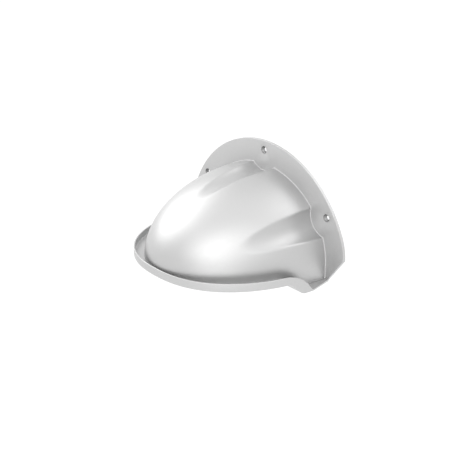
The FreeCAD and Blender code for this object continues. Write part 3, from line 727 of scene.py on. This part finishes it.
    def build(self) -> bpy.types.Object:
        """Outer mirror skin, the foot behind the flange, the foot turned in at the mouth, inner skin."""
        surface = Surface("mirror_shell")
        high = self.seal + self.wall
        thick = FLANGE_BACK - FLANGE_FRONT
        back = np.array([thick, thick - self.wall, 0.5 * (thick - self.wall)])
        outer = np.concatenate([[self.flat(depth, 0.0, self.seal) for depth in back],
                                self.skin_rows(0.0, self.seal)])
        inner = np.concatenate([[self.flat(depth, self.wall, high) for depth in back],
                                self.skin_rows(self.wall, high)])
        surface.grid(outer[1:], 0)
        surface.grid(inner, 1)

        foot = [self.flat(back[1], -self.wall_foot * share, self.seal) for share in (0, 0.5, 1)]
        foot.append(self.flat(back[0], -self.wall_foot, self.seal))
        surface.grid(np.array(foot), 1)
        surface.grid(np.array([foot[3], inner[0]]), 1)
        for end in (0, -1):
            surface.polygon(np.array([row[end] for row in foot] + [outer[0, end]]), 1)

        opening = self.opening_edge(back)
        under = self.strip(self.lower_edge(outer), opening, self.seal)
        over = self.strip(self.lower_edge(inner), opening, high)
        surface.grid(under, 1)
        surface.grid(over, 1)
        surface.grid(np.array([under[-1], over[-1]]), 1)
        return surface.build([skin(Skin.MIRROR), skin(Skin.BACKING)])


@dataclass
class SealingBead:
    """Bead of sealant in the corner between dome and flange, tooled hollow with a finger."""

    dome: MirrorDome
    leg: float = 0.9 * MM
    sink: float = 0.05 * MM
    steps: int = 6

    def build(self) -> bpy.types.Object:
        """A quarter circle hollow carried along the dome's section, closed against dome and flange.

        The hollow's points lie leg (1 - sin f) off the dome and leg (1 - cos f) off the flange.
        """
        turn = np.linspace(0, np.pi / 2, self.steps + 1)
        off_dome = np.concatenate([self.leg * (1 - np.sin(turn)), [-self.sink, -self.sink, self.leg]])
        off_flange = np.concatenate([self.leg * (1 - np.cos(turn)), [self.leg, -self.sink, -self.sink]])
        rows = [self.dome.flat(-out, -grow, self.dome.seal) for grow, out in zip(off_dome, off_flange)]
        surface = Surface("sealing_bead")
        surface.grid(np.array(rows + rows[:1]))
        return surface.build([skin(Skin.SEALANT)])


# ---------------------------------------------------------------- the drip gutter
@dataclass
class DripGutter:
    """Floor and up-turned lip round the mouth, whose ends bend down to open spouts beside the wall.

    A station is a place along the rim.  At each one a closed profile runs from the rim's outline to the
    mouth's opening: underside, rounded corner, lip with a rounded top, cove, floor.
    """

    dome: MirrorDome
    half_width: float = 135.6 * MM
    reach: float = 182.4 * MM
    power: float = 2.34
    top: float = 7.6 * MM
    lip: float = 2.0 * MM
    thick: float = 2.4 * MM
    fall_start: float = 77.4 * MM
    fall_bend: float = 46.0 * MM
    fall_slope: float = math.radians(52.0)
    tip_reach: float = 34.0 * MM
    floor_end: float = 127.0 * MM
    corner: float = 1.2 * MM
    brow: float = 0.7 * MM
    cove: float = 1.5 * MM
    stations: int = 440
    back_stations: int = 16

    def lip_top(self, reach: Array) -> Array:
        """Height of the lip's top: level, then an arc of radius fall_bend, then a straight slope."""
        ahead = self.fall_start - reach
        sine = math.sin(self.fall_slope)
        arc = self.fall_bend - np.sqrt(self.fall_bend ** 2 - np.clip(ahead, 0, self.fall_bend * sine) ** 2)
        slope = np.maximum(ahead - self.fall_bend * sine, 0) * math.tan(self.fall_slope)
        return self.top - arc - slope

    def rim(self) -> tuple[Array, Array, Array]:
        """The rim's outline, the direction into the gutter and the opening's outline, at each station.

        The outline is a superellipse (a |cos t|^(2/n), b sin^(2/n) t) between the lip's tips, and runs
        straight from each tip to the flange.  The opening is an ellipse at the same t.
        """
        tip = math.asin((self.tip_reach / self.reach) ** (self.power / 2))
        turn = np.concatenate([np.linspace(0, tip, self.back_stations + 1),
                               np.linspace(tip, np.pi - tip, self.stations + 1)[1:-1],
                               np.linspace(np.pi - tip, np.pi, self.back_stations + 1)])
        held = np.clip(turn, tip, np.pi - tip)
        share = np.clip(np.minimum(turn, np.pi - turn) / tip, 0, 1)[:, None]
        side = np.sign(np.cos(turn))
        across, out = np.abs(np.cos(held)) ** (2 / self.power), np.sin(held) ** (2 / self.power)
        curve = np.stack([side * self.half_width * across, self.reach * out], axis=-1)
        foot = np.stack([side * self.floor_end, 0 * side], axis=-1)
        inward = -np.stack([side * across ** (self.power - 1) / self.half_width,
                            out ** (self.power - 1) / self.reach], axis=-1)
        inward /= np.linalg.norm(inward, axis=1, keepdims=True)
        inward = inward * share + np.stack([-side, 0 * side], axis=-1) * (1 - share)
        inward /= np.linalg.norm(inward, axis=1, keepdims=True)
        opening = np.stack([(self.dome.half_width - self.dome.mouth_foot) * np.cos(turn),
                            (self.dome.reach - self.dome.mouth_foot) * np.sin(turn)], axis=-1)
        return foot * (1 - share) + curve * share, inward, opening

    def build(self) -> bpy.types.Object:
        """The closed profile carried along the rim, with flat ends against the flange."""
        outline, inward, opening = self.rim()
        near = self.lip + self.cove + self.corner
        shoulder = outline + inward * near

        def at(depth: float) -> Array:
            """Places `depth` in from the rim."""
            return outline + inward * depth

        rows: list[Array] = []

        def put(plan: Array, height: Array) -> None:
            """Adds one line of points along the rim, at these heights."""
            rows.append(np.stack([plan[:, 0], FLANGE_FRONT - plan[:, 1], height], axis=-1))

        def floor(plan: Array) -> Array:
            """The floor's height under each place."""
            return self.dome.floor.height(plan[:, 1])

        wide = np.linspace(1, 0, 11)
        for share in wide:
            plan = shoulder * (1 - share) + opening * share
            put(plan, floor(plan) - self.thick)
        for inset, rise in fillet(self.corner, 270, 180, 4) + self.corner:
            plan = at(inset)
            put(plan, floor(plan) - self.thick + rise)
        for inset, drop in fillet(self.brow, 180, 90, 4) * (1, -1) + self.brow:
            plan = at(inset)
            put(plan, self.crest(plan) - drop)
        for inset, drop in fillet(self.brow, 90, 0, 4) * (1, -1) + (self.lip - self.brow, self.brow):
            plan = at(inset)
            room = self.crest(plan) - floor(plan)
            put(plan, self.crest(plan) - drop * np.clip(room / self.top, 0, 1))
        for inset, rise in fillet(self.cove, 180, 270, 5) + (self.lip + self.cove, self.cove):
            plan = at(inset)
            room = self.crest(plan) - floor(plan)
            put(plan, floor(plan) + rise * np.clip(room / self.top, 0, 1))
        for share in wide[::-1]:
            plan = shoulder * (1 - share) + opening * share
            put(plan, floor(plan))
        surface = Surface("gutter")
        surface.grid(np.array(rows + rows[:1]))
        return surface.build([skin(Skin.METAL)])

    def crest(self, plan: Array) -> Array:
        """Height of the lip's top at each place, never below the floor."""
        return np.maximum(self.lip_top(plan[:, 1]), self.dome.floor.height(plan[:, 1]))


# ---------------------------------------------------------------- flat plates against the wall
@dataclass(frozen=True)
class Arch:
    """The flange's outline: a main arc, two shoulder arcs, two chamfers and a straight foot."""

    half_width: float = 150.0 * MM
    radius: float = 157.0 * MM
    centre: float = -18.8 * MM
    shoulder_level: float = 15.0 * MM
    foot: float = 124.0 * MM
    steps: int = 120

    def upper(self) -> Array:
        """Points (x, z) from the right foot over the top to the left foot.

        The shoulder arc touches both the main arc and the upright at the shoulder's level, so its
        radius is (R^2 - w^2 - rise^2) / (2 (R - w)), with rise its height over the main arc's centre.
        """
        rise = self.shoulder_level - self.centre
        gap = self.radius - self.half_width
        small = (self.radius ** 2 - self.half_width ** 2 - rise ** 2) / (2 * gap)
        turn = math.asin(rise / (self.radius - small))
        bend = np.linspace(0, turn, 14)[:-1]
        arc = np.linspace(turn, np.pi / 2, self.steps // 2 + 1)
        right = np.concatenate([
            [[self.foot, FOOT_LEVEL]],
            np.stack([self.half_width - small + small * np.cos(bend),
                      self.shoulder_level + small * np.sin(bend)], axis=-1),
            np.stack([self.radius * np.cos(arc), self.centre + self.radius * np.sin(arc)], axis=-1)])
        return np.concatenate([right, (right * (-1, 1))[-2::-1]])


@dataclass(frozen=True)
class Hole:
    """A round hole through a plate: its place, its profile of (y, radius) from front to back, its finish."""

    x: float
    z: float
    profile: Array
    finish: int = 0


@dataclass
class Plate:
    """Flat sheet parallel to the wall, with rounded edges and turned holes."""

    name: str
    front: float
    back: float
    outlines: list[Array]
    holes: list[Hole]
    edge: float

    def build(self, *finishes: Skin) -> bpy.types.Object:
        """Rounded edges along each outline, turned walls in each hole, and flat faces filled between.

        An edge's rows lie edge (1 - cos f) behind the face and edge (1 - sin f) inside the outline.

        Args:
            finishes: the plate's finish, then that of its holes if it is another one.

        Returns:
            The plate.
        """
        surface = Surface(self.name)
        turn = np.linspace(0, np.pi / 2, 4)
        away, inside = self.edge * (1 - np.cos(turn)), self.edge * (1 - np.sin(turn))
        fronts, backs = [], []
        for outline in self.outlines:
            rows = []
            for y, inset in [*zip(self.front + away, inside), *zip(self.back - away[::-1], inside[::-1])]:
                loop = offset_loop(outline, inset)
                rows.append(np.stack([loop[:, 0], np.full(len(loop), y), loop[:, 1]], axis=-1))
            surface.grid(np.array(rows), ring=True)
            fronts.append(rows[0])
            backs.append(rows[-1])
        for hole in self.holes:
            rows = lathe(hole.profile, hole.x, hole.z, 40)
            surface.grid(rows, hole.finish, ring=True)
            fronts.append(rows[0])
            backs.append(rows[-1])
        surface.sheet(fronts)
        surface.sheet(backs)
        return surface.build([skin(finish) for finish in finishes])


@dataclass
class WallMount:
    """The arched flange, the back plate behind it and the foam gasket on the wall."""

    dome: MirrorDome
    arch: Arch = field(default_factory=Arch)
    slip: float = 0.2 * MM
    edge: float = 0.5 * MM
    hole: float = 2.75 * MM
    sink: float = 4.9 * MM
    sink_wall: float = 0.7 * MM
    opening_below: float = 2.5 * MM
    opening_steps: int = 420
    plate_inset: float = 6.0 * MM
    plate_hole: float = 5.0 * MM
    plate_edge: float = 0.25 * MM
    gasket_inset: float = 19.0 * MM
    gasket_band: float = 8.0 * MM
    gasket_edge: float = 0.7 * MM
    small_head: float = 2.8 * MM
    small_shank: float = 1.5 * MM

    def flange(self) -> bpy.types.Object:
        """Outline over the top and back along the dome's section, which is cut out of it."""
        along = np.linspace(0, 1, self.opening_steps + 1)
        opening = self.dome.section(np.zeros(1), along, -self.slip, -self.opening_below)
        loop = np.concatenate([self.arch.upper(), opening[::-1][:, [0, 2]]])
        soft = self.edge * 0.5
        cone = FLANGE_FRONT + self.sink_wall
        bevel = np.array([[FLANGE_FRONT, self.sink + soft],
                          [FLANGE_FRONT + 0.3 * soft, self.sink + 0.3 * soft],
                          [FLANGE_FRONT + soft, self.sink], [cone, self.sink],
                          [cone + self.sink - self.hole, self.hole], [FLANGE_BACK, self.hole]])
        # Each countersink's walls take the second finish: bare metal darkened as painted shade in the holes.
        holes = [Hole(x, z, bevel, 1) for x, z in self.dome.holes]
        plate = Plate("flange", FLANGE_FRONT, FLANGE_BACK, [loop], holes, self.edge)
        return plate.build(Skin.METAL, Skin.CUT)

    def back_plate(self) -> bpy.types.Object:
        """Zinc sheet with three plain holes and countersunk ones for the clamp screws."""
        front = FLANGE_BACK
        plain = np.array([[front, self.plate_hole], [PLATE_BACK, self.plate_hole]])
        sunk = np.array([[front, self.small_shank],
                         [PLATE_BACK - self.small_head + self.small_shank, self.small_shank],
                         [PLATE_BACK, self.small_head]])
        holes = [Hole(x, z, plain) for x, z in self.dome.holes]
        holes += [Hole(x, z, sunk) for x, _, z in solid_places("frame_screws")]
        loop = offset_loop(self.arch.upper(), self.plate_inset)
        return Plate("backing_plate", front, PLATE_BACK, [loop], holes, self.plate_edge).build(Skin.ZINC)

    def gasket(self) -> bpy.types.Object:
        """Foam ring with soft edges, inside the fixing holes' circle."""
        arch = self.arch.upper()
        outer = offset_loop(arch, self.gasket_inset)
        inner = offset_loop(arch, self.gasket_inset + self.gasket_band)[::-1]
        return Plate("foam_gasket", PLATE_BACK, 0.0, [outer, inner], [], self.gasket_edge).build(Skin.FOAM)


def solid_places(name: str) -> Array:
    """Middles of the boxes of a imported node's separate solids, found as islands of its merged mesh."""
    work = bmesh.new()
    work.from_mesh(frame["nodes"][name].data)
    bmesh.ops.remove_doubles(work, verts=work.verts, dist=1e-6)
    left = set(work.verts)
    middles = []
    while left:
        island, edge = set(), [left.pop()]
        while edge:
            vert = edge.pop()
            island.add(vert)
            fresh = {link.other_vert(vert) for link in vert.link_edges} & left
            left -= fresh
            edge += fresh
        places = np.array([vert.co[:] for vert in island])
        middles.append(0.5 * (places.min(0) + places.max(0)))
    work.free()
    return np.array(sorted(middles, key=tuple))


# ---------------------------------------------------------------- studio
@dataclass
class Studio:
    """Plain pale floor far below the mirror, even white surroundings and soft lamps round it."""

    drop: float = 1.3
    extent: float = 60.0
    distance: float = 2.5
    aim: Vector = field(default_factory=lambda: Vector((0, -0.08, 0.04)))

    def floor(self) -> bpy.types.Object:
        """A wide pale floor."""
        mesh = bpy.data.meshes.new("studio_floor")
        wide = self.extent
        mesh.from_pydata([(-wide, -wide, -self.drop), (wide, -wide, -self.drop), (wide, wide, -self.drop),
                          (-wide, wide, -self.drop)], [], [(0, 1, 2, 3)])
        floor = bpy.data.objects.new("studio_floor", mesh)
        bpy.context.scene.collection.objects.link(floor)
        blank = Blank("pale_floor")
        blank.even(Roughness=0.9, Base_Color=grey(0.3), Emission_Color=grey(1.0), Emission_Strength=0.72)
        mesh.materials.append(blank.material)
        return floor

    def surroundings(self) -> None:
        """Even white light from all round."""
        world = bpy.data.worlds.new("studio_white")
        bpy.context.scene.world = world
        world.use_nodes = True
        background = next(found for found in world.node_tree.nodes if found.type == "BACKGROUND")
        background.inputs["Color"].default_value = grey(1.0)
        background.inputs["Strength"].default_value = 1.0

    def lamp(self, name: str, direction: tuple[float, float, float], width: float, power: float) -> None:
        """Adds a square soft lamp in this direction, turned to the object.

        Args:
            name: the lamp's name.
            direction: from the object to the lamp.
            width: the lamp's side in metres.
            power: in watts.
        """
        light = bpy.data.lights.new(name, "AREA")
        light.size = width
        light.energy = power
        away = Vector(direction).normalized()
        lamp = bpy.data.objects.new(name, light)
        turn = (-away).to_track_quat("-Z", "Y").to_matrix().to_4x4()
        lamp.matrix_world = Matrix.Translation(self.aim + away * self.distance) @ turn
        bpy.context.scene.collection.objects.link(lamp)

    def lamps(self) -> None:
        """Large soft lamps left, front, right, behind and above, and a smaller one for the bright spot."""
        self.lamp("left_softbox", (-0.7, -0.3, 0.65), 2.1, 14.0)
        self.lamp("left_key", (-0.85, -0.1, 0.5), 1.9, 12.0)
        self.lamp("front_key", (0.45, -0.65, 0.5), 1.1, 3.5)
        self.lamp("front_softbox", (0.3, -0.7, 0.65), 1.9, 7.0)
        self.lamp("right_softbox", (0.7, -0.3, 0.65), 1.9, 8.5)
        self.lamp("right_fill", (0.7, -0.7, 0.0), 1.9, 6.0)
        self.lamp("back_softbox", (0.3, 0.7, 0.65), 1.9, 12.0)
        self.lamp("top_fill", (0.0, 0.0, 1.0), 1.9, 3.0)


@dataclass
class Viewpoint:
    """The camera: where it stands, how it is turned and how long its lens is."""

    place: Vector = field(default_factory=lambda: Vector((0.8303, -0.7757, 0.4739)))
    azimuth: float = 0.8696
    elevation: float = 0.3835
    roll: float = 0.0058
    lens: float = 71.34
    sensor: float = 36.0

    def build(self) -> bpy.types.Object:
        """Makes the camera, whose back points at (sin a cos e, -cos a cos e, sin e)."""
        a, e = self.azimuth, self.elevation
        right = Vector((math.cos(a), math.sin(a), 0))
        back = Vector((math.sin(a) * math.cos(e), -math.cos(a) * math.cos(e), math.sin(e)))
        up = back.cross(right)
        level = right * math.cos(self.roll) + up * math.sin(self.roll)
        upright = up * math.cos(self.roll) - right * math.sin(self.roll)
        data = bpy.data.cameras.new("camera")
        data.lens = self.lens
        data.sensor_width = self.sensor
        data.clip_start, data.clip_end = 0.05, 200.0
        camera = bpy.data.objects.new("camera", data)
        turn = Matrix((level, upright, back)).transposed().to_4x4()
        camera.matrix_world = Matrix.Translation(self.place) @ turn
        bpy.context.scene.collection.objects.link(camera)
        bpy.context.scene.camera = camera
        return camera


def main() -> None:
    """Builds the pieces in order, dresses what stays as packed, and sets up studio and camera."""
    logging.basicConfig(level=logging.INFO, format="%(message)s")
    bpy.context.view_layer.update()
    Viewpoint().build()

    dome = MirrorDome(FloorLine(), hole_spots())
    settle(dome.build(), "mirror_face", "mirror_dome")
    settle(SealingBead(dome).build(), "clear_sealant", "dome_bead")
    settle(DripGutter(dome).build(), "satin_metal", "drip_gutter")
    mount = WallMount(dome)
    settle(mount.flange(), "satin_metal", "wall_flange")
    settle(mount.back_plate(), "zinc_steel", "back_plate")
    settle(mount.gasket(), "black_foam", "wall_gasket")
    for name, choice in KEPT.items():
        dress(name, choice)

    studio = Studio()
    studio.floor()
    studio.surroundings()
    studio.lamps()
    bpy.context.scene.view_settings.view_transform = "Standard"


if __name__ == "__main__":
    main()
